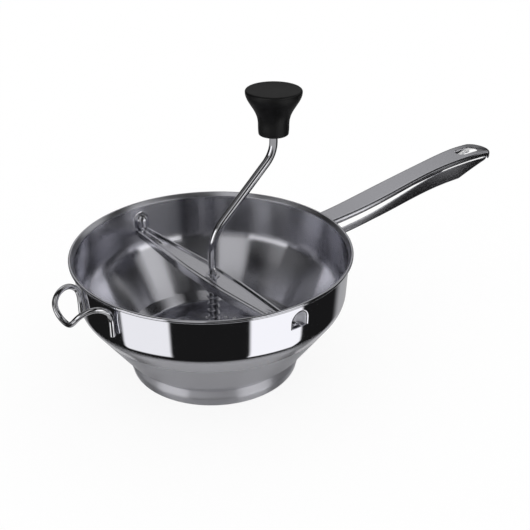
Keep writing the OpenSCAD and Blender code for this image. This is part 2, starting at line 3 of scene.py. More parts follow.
import bmesh
import bpy
import numpy as np
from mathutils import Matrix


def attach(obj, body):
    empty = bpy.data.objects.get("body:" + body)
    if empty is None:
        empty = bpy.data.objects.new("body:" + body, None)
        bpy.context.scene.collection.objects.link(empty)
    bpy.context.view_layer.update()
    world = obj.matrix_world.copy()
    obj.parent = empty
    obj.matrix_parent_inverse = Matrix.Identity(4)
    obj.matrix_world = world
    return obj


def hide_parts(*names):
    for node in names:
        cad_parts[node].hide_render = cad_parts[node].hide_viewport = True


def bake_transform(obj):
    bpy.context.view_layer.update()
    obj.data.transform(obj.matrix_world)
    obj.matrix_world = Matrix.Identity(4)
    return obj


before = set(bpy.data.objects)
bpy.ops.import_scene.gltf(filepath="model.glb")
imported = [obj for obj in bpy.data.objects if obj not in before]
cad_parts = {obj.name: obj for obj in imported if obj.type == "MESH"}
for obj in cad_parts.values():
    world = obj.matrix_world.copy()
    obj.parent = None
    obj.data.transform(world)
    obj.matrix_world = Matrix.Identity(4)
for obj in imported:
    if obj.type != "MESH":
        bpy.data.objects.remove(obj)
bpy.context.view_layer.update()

mm = 0.001

# Sizes shared by several pieces, in millimetres, in the part's frame

bowl = {"wall": 0.8, "bandTop": 97.35, "shoulder": 95.6, "shoulderZ": 56.9}
pocket = {"radius": 6.0, "foot": 73.0, "straight": 5.2, "fillet": 1.2, "reach": 9.5, "lift": 1.6}
crank = {"turn": math.radians(-5.8), "throw": 51.8, "radius": 3.0}
studioWhite = "#ffffff"


# sRGB hex to linear: c/12.92 below 0.04045, else ((c + 0.055)/1.055)^2.4.
def linear(hexColour):
    c = np.array([int(hexColour[i : i + 2], 16) for i in (1, 3, 5)]) / 255
    low = c <= 0.04045
    return tuple(np.where(low, c / 12.92, ((c + 0.055) / 1.055) ** 2.4)) + (1.0,)


# Outer radius of the bowl's upper wall: a straight line in z, 95.6 at 56.9 to 97.35 at 89.7.
def bandRadius(z):
    return bowl["shoulder"] + (bowl["bandTop"] - bowl["shoulder"]) * (z - bowl["shoulderZ"]) / 32.8


# Cosine ease: (1 - cos(pi t))/2 with t held between 0 and 1.
def ease(t):
    return (1 - np.cos(np.pi * np.clip(t, 0, 1))) / 2


# Mesh helpers


# Arc of the given radius, tangent to a-b and b-c: centre + radius (sin, -cos) over the turn at b.
def fillet(a, b, c, radius, steps=10):
    a, b, c = (np.array(p, float) for p in (a, b, c))
    u, v = (b - a) / np.linalg.norm(b - a), (c - b) / np.linalg.norm(c - b)
    turn = math.acos(np.clip(u @ v, -1, 1))
    n = v - (u @ v) * u
    n /= np.linalg.norm(n)
    centre = b - u * radius * math.tan(turn / 2) + n * radius
    t = np.linspace(0, turn, steps + 1)[:, None]
    return centre - n * radius * np.cos(t) + u * radius * np.sin(t)


# Path through corners whose last number is the fillet radius; straight where it is 0.
def rounded(corners, steps=10, close=False):
    corners = [np.array(c, float) for c in corners]
    count, rows = len(corners), []
    for i, c in enumerate(corners):
        ends = not close and i in (0, count - 1)
        if ends or c[-1] == 0:
            rows.append(c[None, :-1])
        else:
            rows.append(fillet(corners[i - 1][:-1], c[:-1], corners[(i + 1) % count][:-1], c[-1], steps))
    return np.concatenate(rows)


# Points added on long stretches so that no two neighbours lie further apart than step.
def resample(path, step):
    rows = [path[:1]]
    for a, b in zip(path[:-1], path[1:]):
        n = max(1, int(math.ceil(np.linalg.norm(b - a) / step)))
        rows.append(a + (b - a) * np.linspace(0, 1, n + 1)[1:, None])
    return np.concatenate(rows)


# Cubic B-spline of a control line by repeated halving: new corner (a + 6 b + c)/8, new middle (a + b)/2.
def smoothed(points, rounds=5):
    points = np.array(points, float)
    for _ in range(rounds):
        corner = points.copy()
        corner[1:-1] = (points[:-2] + 6 * points[1:-1] + points[2:]) / 8
        finer = np.empty((2 * len(points) - 1, points.shape[1]))
        finer[0::2], finer[1::2] = corner, (points[:-1] + points[1:]) / 2
        points = finer
    return points


# Arc length along one axis of a grid, averaged over the other, starting at 0.
def lengths(points, axis):
    d = np.linalg.norm(np.diff(points, axis=axis), axis=-1)
    return np.concatenate([[0], np.cumsum(d.mean(axis=1 - axis))])


# Faces over a grid of points (u, v, xyz); each face corner's UV is the arc length in mm along u and v.
def grid(points, closeU=False, closeV=False, slot=0, flip=False):
    nu, nv = points.shape[:2]
    wrapU = np.concatenate([points, points[:1]]) if closeU else points
    wrapV = np.concatenate([points, points[:, :1]], axis=1) if closeV else points
    uu, vv = lengths(wrapU, 0), lengths(wrapV, 1)
    i, j = np.meshgrid(np.arange(len(uu) - 1), np.arange(len(vv) - 1), indexing="ij")
    i, j = i.ravel(), j.ravel()
    corners = [(i, j), (i + 1, j), (i + 1, j + 1), (i, j + 1)]
    if flip:
        corners.reverse()
    faces = np.stack([(a % nu) * nv + b % nv for a, b in corners], axis=1)
    uvs = np.stack([np.stack([uu[a], vv[b]], axis=-1) for a, b in corners], axis=1)
    return {"points": points.reshape(-1, 3), "faces": faces, "uvs": uvs, "slot": np.full(len(faces), slot)}


# One object from several grids: vertices in metres, corner UVs in mm, edges sharper than the angle kept
# crisp.
def build(name, parts, materials, sharp=38, weld=1e-4):
    offset, points, faces, uvs, slots = 0, [], [], [], []
    for p in parts:
        points.append(p["points"])
        faces.append(p["faces"] + offset)
        uvs.append(p["uvs"])
        slots.append(p["slot"])
        offset += len(p["points"])
    points, faces = np.concatenate(points) * mm, np.concatenate(faces)
    mesh = bpy.data.meshes.new(name)
    mesh.vertices.add(len(points))
    mesh.vertices.foreach_set("co", points.astype(np.float32).ravel())
    mesh.loops.add(faces.size)
    mesh.loops.foreach_set("vertex_index", faces.astype(np.int32).ravel())
    mesh.polygons.add(len(faces))
    mesh.polygons.foreach_set("loop_start", np.arange(0, faces.size, 4, dtype=np.int32))
    mesh.update(calc_edges=True)
    mesh.polygons.foreach_set("material_index", np.concatenate(slots).astype(np.int32))
    layer = mesh.uv_layers.new(name="mm")
    layer.data.foreach_set("uv", np.concatenate(uvs).astype(np.float32).ravel())
    for m in materials:
        mesh.materials.append(m)
    bm = bmesh.new()
    bm.from_mesh(mesh)
    bmesh.ops.remove_doubles(bm, verts=bm.verts, dist=weld * mm)
    bmesh.ops.dissolve_degenerate(bm, edges=bm.edges, dist=1e-8)
    limit = math.radians(sharp)
    for e in bm.edges:
        e.smooth = len(e.link_faces) == 2 and e.calc_face_angle(0) < limit
    bm.to_mesh(mesh)
    bm.free()
    mesh.polygons.foreach_set("use_smooth", np.ones(len(mesh.polygons), bool))
    obj = bpy.data.objects.new(name, mesh)
    bpy.context.scene.collection.objects.link(obj)
    print("made", name, len(mesh.polygons), "faces")
    return obj


# Surface of revolution: (r cos a, r sin a, z) for a profile of (r, z) that runs up the outside.
def revolve(profile, centre=(0, 0), segments=96, slot=0, closeV=True):
    a = np.linspace(0, 2 * np.pi, segments, endpoint=False)[:, None]
    r, z = profile[None, :, 0], profile[None, :, 1]
    points = np.stack([centre[0] + r * np.cos(a), centre[1] + r * np.sin(a), z + 0 * a], axis=-1)
    return grid(points, closeU=True, closeV=closeV, slot=slot)


# Tube round a line: line + radius (p cos b n + q sin b m), with n carried along so that it never twists;
# p and q are the two columns of scale. The ends are rounded.
def tube(line, radius, sides=32, slot=0, roundEnd=0.0, spoke=(0.3, 0.5, 0.8), scale=None):
    way = np.gradient(line, axis=0)
    way /= np.linalg.norm(way, axis=1, keepdims=True)
    n = np.array(spoke, float)
    spokes = []
    for t in way:
        n = n - (n @ t) * t
        n /= np.linalg.norm(n)
        spokes.append(n)
    spokes = np.array(spokes)
    m = np.cross(way, spokes)
    scale = np.ones((len(line), 2)) if scale is None else scale
    b = np.linspace(0, 2 * np.pi, sides, endpoint=False)[None, :, None]
    ring = spokes[:, None] * np.cos(b) * scale[:, 0, None, None] + m[:, None] * np.sin(b) * scale[:, 1, None, None]
    body = line[:, None] + radius * ring
    k = roundEnd if roundEnd else radius * 0.02
    s = np.linspace(0, np.pi / 2, 7)[:, None, None]
    caps = []
    for end, sign in ((0, -1), (-1, 1)):
        rings = line[end] + sign * k * (np.sin(s) - 1) * way[end] + (radius - k * (1 - np.cos(s))) * ring[end]
        middle = np.repeat(line[end][None, None], sides, axis=1)
        caps.append(np.concatenate([rings, middle]))
    inside = np.linalg.norm(line - line[0], axis=1) > k * 1.01
    inside &= np.linalg.norm(line - line[-1], axis=1) > k * 1.01
    points = np.concatenate([caps[0][::-1], body[inside], caps[1]])
    return grid(points, closeV=True, slot=slot)


# Finishes


# A node of one kind, with its settings, and its inputs given as numbers or as sockets to link.
def addNode(tree, kind, inputs=None, **settings):
    node = tree.nodes.new(kind)
    for key, value in settings.items():
        setattr(node, key, value)
    for key, value in (inputs or {}).items():
        if isinstance(value, bpy.types.NodeSocket):
            tree.links.new(value, node.inputs[key])
        else:
            node.inputs[key].default_value = value
    return node


# A material with only a Principled surface, returned with its tree and shader.
def newMaterial(name):
    material = bpy.data.materials.new(name)
    material.use_nodes = True
    tree = material.node_tree
    shader = next(n for n in tree.nodes if n.type == "BSDF_PRINCIPLED")
    return material, tree, shader


# Stainless steel. Fine lines are noise stretched 60 times along the brushing and 1/grain lines wide per
# mm across; roughness = rough + swing (lines - 1/2) + half that again from a slow 25 mm noise that stands
# for wiping and handling; height = scratch times lines plus wave times a slow 30 mm noise for the drawn
# sheet.
def steelSurface(name, colour, rough, swing, scratch, anisotropy=0.0, wave=0.0, grain=0.02, space="UV"):
    material, tree, shader = newMaterial(name)
    place = addNode(tree, "ShaderNodeTexCoord")
    metre = 1.0 if space == "UV" else 1000.0
    across = 1 / (grain * 60)
    lines = addNode(tree, "ShaderNodeMapping", {"Vector": place.outputs[space],
                    "Scale": (metre * across / 60, metre * across, metre * across / (60 if space == "UV" else 1))})
    fine = addNode(tree, "ShaderNodeTexNoise", {"Vector": lines.outputs[0], "Scale": 1.0, "Detail": 3.0,
                   "Roughness": 0.6})
    slow = addNode(tree, "ShaderNodeTexNoise", {"Vector": place.outputs[space], "Scale": metre / 25, "Detail": 4.0})
    broad = addNode(tree, "ShaderNodeTexNoise", {"Vector": place.outputs[space], "Scale": metre / 30, "Detail": 1.0})
    first = addNode(tree, "ShaderNodeMath", {0: fine.outputs[0], 1: swing, 2: rough - swing * 0.75},
                    operation="MULTIPLY_ADD")
    both = addNode(tree, "ShaderNodeMath", {0: slow.outputs[0], 1: swing / 2, 2: first.outputs[0]},
                   operation="MULTIPLY_ADD")
    tree.links.new(both.outputs[0], shader.inputs["Roughness"])
    cut = addNode(tree, "ShaderNodeBump", {"Strength": 1.0, "Distance": scratch * mm, "Height": fine.outputs[0]})
    if wave:
        cut = addNode(tree, "ShaderNodeBump", {"Strength": 1.0, "Distance": wave * mm, "Height": broad.outputs[0],
                      "Normal": cut.outputs[0]})
    tree.links.new(cut.outputs[0], shader.inputs["Normal"])
    shader.inputs["Base Color"].default_value = linear(colour)
    shader.inputs["Metallic"].default_value = 1.0
    if anisotropy:
        shader.inputs["Anisotropic"].default_value = anisotropy
        shader.inputs["Anisotropic Rotation"].default_value = 0.25
        if space == "UV":
            run = addNode(tree, "ShaderNodeTangent", direction_type="UV_MAP", uv_map="mm")
        else:
            run = addNode(tree, "ShaderNodeTangent", direction_type="RADIAL", axis="Z")
        tree.links.new(run.outputs[0], shader.inputs["Tangent"])
    return material


# Moulded plastic: a 0.4 mm pebble noise lifts the surface by grain mm; roughness = rough + 0.1 (slow
# noise - 1/2), which stands for wear by the hand.
def mouldedSurface(name, colour, rough, grain):
    material, tree, shader = newMaterial(name)
    place = addNode(tree, "ShaderNodeTexCoord").outputs["Object"]
    pebble = addNode(tree, "ShaderNodeTexNoise", {"Vector": place, "Scale": 2500.0, "Detail": 2.0})
    slow = addNode(tree, "ShaderNodeTexNoise", {"Vector": place, "Scale": 90.0, "Detail": 3.0})
    wear = addNode(tree, "ShaderNodeMath", {0: slow.outputs[0], 1: 0.1, 2: rough - 0.05}, operation="MULTIPLY_ADD")
    tree.links.new(wear.outputs[0], shader.inputs["Roughness"])
    lift = addNode(tree, "ShaderNodeBump", {"Strength": 1.0, "Distance": grain * mm, "Height": pebble.outputs[0]})
    tree.links.new(lift.outputs[0], shader.inputs["Normal"])
    shader.inputs["Base Color"].default_value = linear(colour)
    return material


# Mirror-polished 18/10 stainless steel of the bowl's outside
polished = steelSurface("polished_stainless", "#dcdce2", 0.05, 0.02, 0.0001, wave=0.008, grain=0.04)
# Satin, brushed round the bowl, of its inside
satin = steelSurface("satin_stainless", "#dcdce2", 0.18, 0.04, 0.0003, anisotropy=1.0, wave=0.006, grain=0.05)
# Pressed hollow of the pockets, left from the tool
pressed = steelSurface("pressed_stainless", "#dadae0", 0.45, 0.06, 0.001, anisotropy=0.3, grain=0.05)
pressed.node_tree.nodes["Principled BSDF"].inputs["Metallic"].default_value = 0.5
# Outside of the cone and foot, brushed round
brushed = steelSurface("brushed_stainless", "#dadae0", 0.3, 0.04, 0.0006, anisotropy=0.8, wave=0.01, grain=0.05)
# Rolled rim, polished over faint turning lines
rimSteel = steelSurface("rim_stainless", "#dcdce2", 0.3, 0.05, 0.0006, anisotropy=0.6, grain=0.04)
# Sieve disc, rolled sheet with its punching marks
discSteel = steelSurface("disc_stainless", "#d4d4da", 0.26, 0.06, 0.001, anisotropy=0.4, grain=0.05, space="Object")
# Handle, brushed along its length
handleSteel = steelSurface("handle_stainless", "#d8d8de", 0.2, 0.05, 0.0008, anisotropy=0.8, grain=0.04)
# Its inside: near-white and barely metallic, painted light so that the slit and the hanging slot read bright white
paintedLightInside = steelSurface("handle_inside_painted_light", "#fafafa", 0.6, 0.06, 0.001, grain=0.05)
paintedLightInside.node_tree.nodes["Principled BSDF"].inputs["Metallic"].default_value = 0.1
# Drawn wire, bright
wireSteel = steelSurface("bright_wire", "#dcdce0", 0.1, 0.04, 0.0005, grain=0.05)
# Pressed bar, brushed along its length
barSteel = steelSurface("bar_stainless", "#dadae0", 0.2, 0.05, 0.0008, anisotropy=0.7, grain=0.04)
# Turned bush, washer, hub and pin
turnedSteel = steelSurface("turned_stainless", "#cfcfd5", 0.2, 0.06, 0.001, anisotropy=0.4, grain=0.04)
# Spring wire, hard drawn, a little duller than the bright wire
springSteel = steelSurface("spring_wire", "#dcdce2", 0.25, 0.05, 0.0006, grain=0.05)
# Blade sheet
bladeSteel = steelSurface("blade_stainless", "#d8d8de", 0.2, 0.05, 0.001, anisotropy=0.4, grain=0.04)
# Black satin plastic of the knob
knobPlastic = mouldedSurface("black_plastic", "#020203", 0.5, 0.002)
# Milk-white nylon of the sleeve
sleeveNylon = mouldedSurface("white_nylon", "#e4e2dc", 0.45, 0.002)

# Bowl


# Cross-section of a pocket's hood at arc length s along its inner face: a circle of radius 6, a fillet of
# radius 1.2, then the flat wall. k is how far behind that face the wanted face lies. Gives the distance
# along the wall and the depth into the bowl.
def hoodProfile(s, k):
    big, small = pocket["radius"], pocket["fillet"]
    foot = math.sqrt((big + small) ** 2 - small**2)
    turn = math.atan2(foot, small)
    t, u = s / big, turn - (s - big * turn) / small
    onCircle, onFillet = s < big * turn, s < (big + small) * turn
    q = np.where(onCircle, (big - k) * np.sin(t),
                 np.where(onFillet, foot - (small + k) * np.sin(u), foot + s - (big + small) * turn))
    p = np.where(onCircle, (big - k) * np.cos(t), np.where(onFillet, small - (small + k) * np.cos(u), -k))
    return q, p


# Bowl wall over the columns, with the two pockets pushed in. Above the pocket's foot a column at distance
# c from the pocket's middle takes the hood's profile; above its straight part the profile runs out along
# the ray from the top of the straight part, which gives a quarter sphere. The lanced edge rises by 1.6 mm
# where it stands out most. Below, the columns only slide.
def bowlSheet(path, k, upper):
    a, r, z = bowlColumns[:, None], path[None, :, 0], path[None, :, 1]
    middle = np.where(a < np.pi, np.pi / 2, 1.5 * np.pi)
    wallRadius = bandRadius(pocket["foot"]) - bowl["wall"]
    c, reach = (a - middle) * wallRadius, pocket["reach"]
    stretch = pocketArc / reach
    if upper:
        crown = pocket["foot"] + pocket["straight"]
        dz = np.maximum(z - crown, 0)
        rho = np.hypot(c, dz)
        near = rho < reach
        q, p = hoodProfile(rho * stretch, k)
        share = q / np.maximum(rho, 1e-9)
        c = np.where(near, c * share, c)
        z = np.where(near & (dz > 0), crown + dz * share, z + 0 * c)
        p = np.where(near, p, -k)
        z = z + pocket["lift"] * np.clip((p + k) / pocket["radius"], 0, 1) * np.clip((crown - z) / pocket["straight"], 0, 1)
        plain = bandRadius(z) - bowl["wall"]
        radius = plain - p - (plain - wallRadius) * np.clip((p + k) / pocket["radius"], 0, 1)
    else:
        q, p = hoodProfile(np.abs(c) * stretch, k)
        slide = ease((z - 61) / (pocket["foot"] - 61))
        c = np.where(np.abs(c) < reach, c + (np.sign(c) * q - c) * slide, c + 0 * z)
        radius, z = r + 0 * c, z + 0 * c
    a = middle + c / wallRadius
    return np.stack([radius * np.cos(a), radius * np.sin(a), z], axis=-1)


# Surface of revolution over given columns, for a path of (r, z).
def sheet(path, columns, slot=0, flip=False):
    a, r, z = columns[:, None], path[None, :, 0], path[None, :, 1]
    points = np.stack([r * np.cos(a), r * np.sin(a), z + 0 * a], axis=-1)
    return grid(points, closeU=True, slot=slot, flip=flip)


# Outer and inner faces of one 0.8 mm sheet, joined by the foot's ledge below and the rolled rim above.
def makeBowl():
    foot, wall = pocket["foot"], bowl["wall"]
    side = [[62.75, 6.5, 10], [61.9, 13.2, 2.5], [68.9, 19.5, 6], [95.6, 56.9, 18]]
    top = [bandRadius(foot), foot, 0]
    outer = rounded([[55.0, 0.8, 0], [55.0, 0, 0.4], [61.15, 0, 0.5]] + side + [top])
    inner = rounded([[55.0, 0.8, 0], [55.0, 1.6, 0.4], [60.75, 1.6, 0]] + [[r - wall, z, f] for r, z, f in side]
                    + [[top[0] - wall, foot, 0]])
    band = np.concatenate([np.linspace(foot, foot + pocket["straight"], 6),
                           np.linspace(foot + pocket["straight"], 88.6, 24)[1:]])
    outerBand = np.stack([bandRadius(band), band], axis=-1)
    parts = []
    edges = {}
    for k, low, slot in ((wall, outer, 0), (0.0, inner, 1)):
        low = resample(low, 4.0)
        lower, upper = bowlSheet(low, k, False), bowlSheet(outerBand, k, True)
        flip = slot == 1
        parts.append(grid(lower, closeU=True, slot=slot, flip=flip))
        parts.append(grid(upper, closeU=True, slot=slot, flip=flip))
        if slot == 0:
            # the hollow of each pocket keeps the finish of the press
            middle = parts[-1]["points"][parts[-1]["faces"]].mean(axis=1)
            deep = np.hypot(middle[:, 0], middle[:, 1]) < bandRadius(middle[:, 2]) - 0.5
            parts[-1]["slot"] = np.where(deep, 3, 0)
            middle = parts[-2]["points"][parts[-2]["faces"]].mean(axis=1)
            parts[-2]["slot"] = np.where(middle[:, 2] < 47, 4, 0)
        edges[slot] = (lower[:, -1], upper[:, 0])
    c = np.where(bowlColumns < np.pi, bowlColumns - np.pi / 2, bowlColumns - 1.5 * np.pi) * 95.55
    for sideIndex in (0, 1):
        here = (np.abs(c) < 8.2) & ((bowlColumns < np.pi) == (sideIndex == 0))
        for edge, flip in ((0, True), (1, False)):
            strip = np.stack([edges[0][edge][here], edges[1][edge][here]], axis=1)
            parts.append(grid(strip, slot=1, flip=flip))
    inTop, outTop = bandRadius(88.6) - wall, bandRadius(88.6)
    rimTop = rounded([[inTop, 88.6, 0], [inTop + 0.05, 89.5, 0.8], [98.5, 92.2, 0.7], [99.1, 92.2, 0]], 6)
    bead = rounded([[99.1, 92.2, 0], [100.0, 92.2, 0.85], [100.0, 89.72, 1.1], [98.2, 89.72, 0.6],
                    [97.6, 90.4, 0]], 10)
    parts.append(sheet(rimTop, bowlColumns, slot=2, flip=True))
    parts.append(sheet(bead, bowlColumns, slot=0, flip=True))
    parts.append(sheet(np.array([[outTop, 88.6], [outTop + 0.1, 90.5]]), bowlColumns, slot=0))
    piece = build("bowl_dressed", parts, [polished, satin, rimSteel, pressed, brushed], sharp=50, weld=2e-3)
    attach(piece, "mill_body")
    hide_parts("bowl")


pocketArc = (pocket["radius"] + pocket["fillet"]) * math.atan2(7.1, 1.2) + pocket["reach"] - math.sqrt(50.4)
halfPocket = math.degrees(pocket["reach"] / 95.55)
near = np.arange(-halfPocket, halfPocket + 1e-6, halfPocket / 38)
far = np.linspace(90 + halfPocket, 270 - halfPocket, 141)[1:-1]
bowlColumns = np.radians(np.concatenate([90 + near, far, 270 + near, (far + 180)]))
bowlColumns = np.sort(bowlColumns % (2 * np.pi))
makeBowl()

# Round hole through a piece, cut exactly and applied.
def cutRound(piece, radius, z0, z1, centre=(0, 0)):
    cutter = bpy.data.meshes.new("cutter")
    bm = bmesh.new()
    bmesh.ops.create_cone(bm, cap_ends=True, segments=96, radius1=radius * mm, radius2=radius * mm,
                          depth=(z1 - z0) * mm)
    bmesh.ops.translate(bm, verts=bm.verts, vec=(centre[0] * mm, centre[1] * mm, (z0 + z1) / 2 * mm))
    bm.to_mesh(cutter)
    bm.free()
    tool = bpy.data.objects.new("cutter", cutter)
    bpy.context.scene.collection.objects.link(tool)
    cut = piece.modifiers.new("hole", "BOOLEAN")
    cut.operation, cut.solver, cut.object = "DIFFERENCE", "EXACT", tool
    graph = bpy.context.evaluated_depsgraph_get()
    mesh = bpy.data.meshes.new_from_object(piece.evaluated_get(graph))
    piece.modifiers.clear()
    old, piece.data = piece.data, mesh
    bpy.data.meshes.remove(old)
    bpy.data.objects.remove(tool)
    bpy.data.meshes.remove(cutter)


# One turned piece from the corners of its closed half section, which run up the outside.
def turned(name, corners, node, body, material, centre=(0, 0), segments=96, steps=5):
    profile = resample(np.concatenate([rounded(corners, steps, close=True)]), 3.0)
    piece = build(name, [revolve(profile, centre, segments)], [material], sharp=35)
    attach(piece, body)
    if node:
        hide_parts(node)
    return piece


# Crossbar, bush, washer and spring

bar = {"half": 9.8, "middle": 22.0, "end": 5.4, "long": 93.5, "top": 69.7, "sheet": 1.2, "bead": 4.6,
       "rise": 1.0, "skirt": 5.5, "bore": 4.82, "ribFrom": 58.0, "rib": 0.9, "tongueTop": 74.3}


# Half width of the bar: 9.8 within 22 mm of the middle, then straight to 5.4 at its ends.
def barHalf(y):
    share = np.clip((np.abs(y) - bar["middle"]) / (bar["long"] - bar["middle"]), 0, 1)
    return bar["half"] - (bar["half"] - bar["end"]) * share


# Pressed channel lofted along y: x = web share * (half width - bead) on the web and half width - distance
# on the bead and skirt. A rib of height 0.9 ((1 + cos(pi x/2.6))/2) rises on the web towards each end.
def makeBar():
    t = bar["sheet"]
    edge = rounded([[-bar["bead"], 0, 0], [-4.1, 0, 0.3], [-3.7, -0.5, 0.3], [-2.6, -0.5, 0.4], [-1.7, bar["rise"], 0.6],
                    [0, bar["rise"], 0.6], [0, -bar["skirt"], 0.35], [-t, -bar["skirt"], 0.35], [-t, -t, 0.5],
                    [-bar["bead"], -t, 0]], 6)
    share = np.linspace(0, 1, 15)[:-1]
    a = np.concatenate([share, np.ones(len(edge)), share[::-1]])
    b = np.concatenate([-bar["bead"] * share, edge[:, 0], -bar["bead"] * share[::-1]])
    h = np.concatenate([0 * share, edge[:, 1], 0 * share - t])
    ys = np.linspace(-bar["long"], bar["long"], 125)
    parts = []
    for s in (1, -1):
        x = np.maximum(a[None] * barHalf(ys)[:, None] + b[None], 0)
        rise = bar["rib"] * ease((np.abs(ys)[:, None] - bar["ribFrom"]) / 12) * ease(1 - x / 2.6)
        shallow = 1 - 0.5 * ease((np.abs(ys)[:, None] - 30) / (bar["long"] - 30))
        z = bar["top"] + np.where(h < -t, h * shallow - t * (1 - shallow), h)
        z = z + np.where((h == 0) | (h == -t), rise, 0)
        points = np.stack([s * x, ys[:, None] + 0 * x, z], axis=-1)
        parts.append(grid(points, flip=s < 0))
        n = len(a) // 2
        for end in (0, -1):
            strip = np.stack([points[end, :n], points[end, ::-1][:n]])
            parts.append(grid(strip, flip=(s > 0) == (end == -1)))
    for s in (1, -1):
        line = rounded([[84.0, bar["top"] - t, 0], [bar["long"] - 0.65, bar["top"] - t, 2.2],
                        [bar["long"] - 0.65, bar["tongueTop"], 0]], 8)
        line = resample(line, 0.8)
        way = np.gradient(line, axis=0)
        way /= np.linalg.norm(way, axis=1)[:, None]
        side = np.stack([way[:, 1], -way[:, 0]], axis=1)
        corner = rounded([[2.5, 0.55, 0.3], [-2.5, 0.55, 0.3], [-2.5, -0.55, 0.3], [2.5, -0.55, 0.3]], 4, close=True)
        narrow = np.sqrt(np.clip(1 - ((line[:, 1] - bar["tongueTop"] + 1.5) / 1.5).clip(0) ** 2, 0.02, 1))
        yz = line[:, None] + side[:, None] * corner[None, :, 1, None]
        x = corner[None, :, 0] * narrow[:, None]
        parts.append(grid(np.stack([x, s * yz[..., 0], yz[..., 1]], axis=-1), closeV=True, flip=s > 0))
    piece = build("crossbar_dressed", parts, [barSteel], sharp=40)
    cutRound(piece, bar["bore"], 60, 72)
    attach(piece, "crossbar_set")
    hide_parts("crossbar")


makeBar()
turned("bar_bush_dressed", [[7.0, 67.4, 0.3], [7.0, 68.5, 0.3], [4.8, 68.5, 0.1], [4.8, 69.7, 0.1],
       [5.3, 69.7, 0.15], [5.2, 70.5, 0.35], [3.08, 70.8, 0.3], [3.08, 67.4, 0.2]], "bar_bush", "crossbar_set",
       turnedSteel)
turned("spring_washer_dressed", [[5.7, 20.5, 0.2], [5.7, 21.5, 0.2], [3.08, 21.5, 0.15], [3.08, 20.5, 0.15]],
       "spring_washer", "spring_seat", turnedSteel)

spring = {"radius": 4.0, "wire": 0.7, "turns": 10, "foot": 22.22, "top": 66.68}


# Helix z = foot + (top - foot)(t - 0.045 sin 2 pi t), in two halves, a lower and an upper one.
def makeSpring():
    rows = []
    for t0, t1 in ((0.0, 0.5), (0.5, 1.0)):
        t = np.linspace(t0, t1, 5 * 40 + 1)
        a = 2 * np.pi * spring["turns"] * t
        z = spring["foot"] + (spring["top"] - spring["foot"]) * (t - 0.045 * np.sin(2 * np.pi * t))
        rows.append(np.stack([spring["radius"] * np.cos(a), spring["radius"] * np.sin(a), z], axis=-1))
    middle = rows[0][-1][2] * mm
    foot, top = (spring["foot"] - 0.7) * mm, (spring["top"] + 0.7) * mm
    for name, line, bodies, ends in (("spring_lower", rows[0], ("spring_seat", "mill_body"), (foot, middle)),
                                     ("spring_upper", rows[1], ("mill_body", "crossbar_set"), (middle, top))):
        piece = build(name, [tube(line, spring["wire"], 16)], [springSteel])
        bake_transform(piece)
        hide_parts("spring")


makeSpring()

# Crank, hub, pin and blade


# Points turned round the upright axis: (x cos a - y sin a, x sin a + y cos a, z).
def turnedBy(points, angle):
    x, y, z = points[..., 0], points[..., 1], points[..., 2]
    return np.stack([x * math.cos(angle) - y * math.sin(angle), x * math.sin(angle) + y * math.cos(angle), z], -1)


# Bent wire. Just above the bar it is crimped: half widths 3 - 1.3 b and 3 + 1.8 b, where b eases in and
# out between z 71.2 and 77.5.
def makeCrank():
    line = resample(rounded([[0, 0, 3.4, 0], [0, 0, 100.5, 34], [crank["throw"], 0, 152.3, 22],
                             [crank["throw"], 0, 190.5, 0]], 24), 1.0)
    b = ease((line[:, 2] - 71.2) / 1.2) * ease((77.5 - line[:, 2]) / 3.5)
    b = np.where(line[:, 2] > 80, 0, b)
    part = tube(line, crank["radius"], 40, roundEnd=0.8, spoke=(1, 0, 0),
                scale=np.stack([1 - 1.3 * b / 3, 1 + 1.8 * b / 3], axis=1))
    part["points"] = turnedBy(part["points"], crank["turn"])
    piece = build("crank_wire_dressed", [part], [wireSteel])
    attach(piece, "crank_set")
    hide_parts("crank_wire")


# Pin across the hub with domed ends.
def makePin():
    s = np.linspace(-6.05, 6.05, 9)[:, None] * np.array([[1.0, 0, 0]]) + np.array([[0, 0, 17.0]])
    part = tube(s, 1.2, 24, roundEnd=0.5, spoke=(0, 0, 1))
    part["points"] = turnedBy(part["points"], crank["turn"])
    piece = build("hub_pin_dressed", [part], [turnedSteel])
    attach(piece, "crank_set")
    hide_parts("hub_pin")


blade = {"sweep": 190.0, "inner": 5.9, "outer": 52.0, "foot": 6.7, "rise": 18.0, "sheet": 1.2, "arm": 11.0,
         "armLong": 51.0, "tilt": 32.0, "armAt": 275.0}


